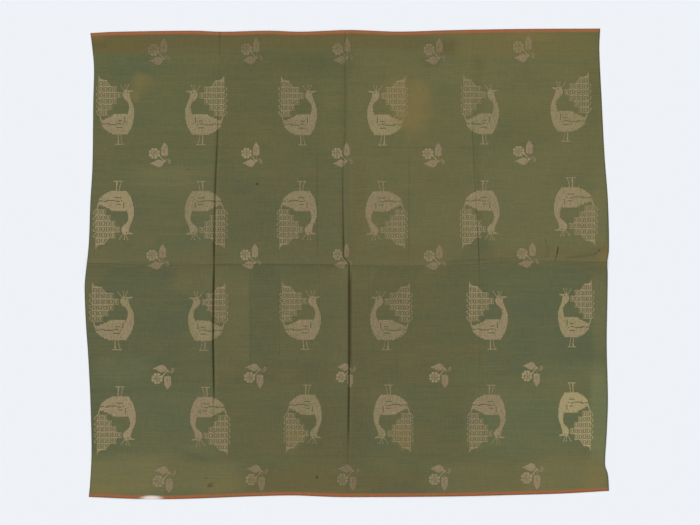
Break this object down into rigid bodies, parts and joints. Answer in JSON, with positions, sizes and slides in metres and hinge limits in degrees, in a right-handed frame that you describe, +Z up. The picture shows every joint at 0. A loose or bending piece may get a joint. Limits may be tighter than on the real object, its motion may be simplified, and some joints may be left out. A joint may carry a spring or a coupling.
{
  "type": "brocade panel",
  "caption": "Square-ish panel of green figured silk, laid flat face up, with woven orange selvedges and low storage folds across it.",
  "frame": {"origin": "on the surface the panel lies on, under the middle of its bounding box", "axes": "+X along the warp, the panel's longer side; +Y across the loom, towards the upper selvedge as the panel is shown; +Z up, out of the face of the cloth"},
  "size_m": [1.0143, 0.9102, 0.0043],
  "materials": {
    "green_silk": "plain-woven shot silk ground, green and brown threads, soft low sheen, faded and lightly stained",
    "gold_silk": "beige-gold brocading silk floats of the peacocks and sprigs, a little brighter than the ground",
    "orange_silk": "orange-red silk of the woven selvedges, faded in places"
  },
  "bodies": {
    "root": {"brocade_panel": "green_silk"}
  },
  "joints": []
}
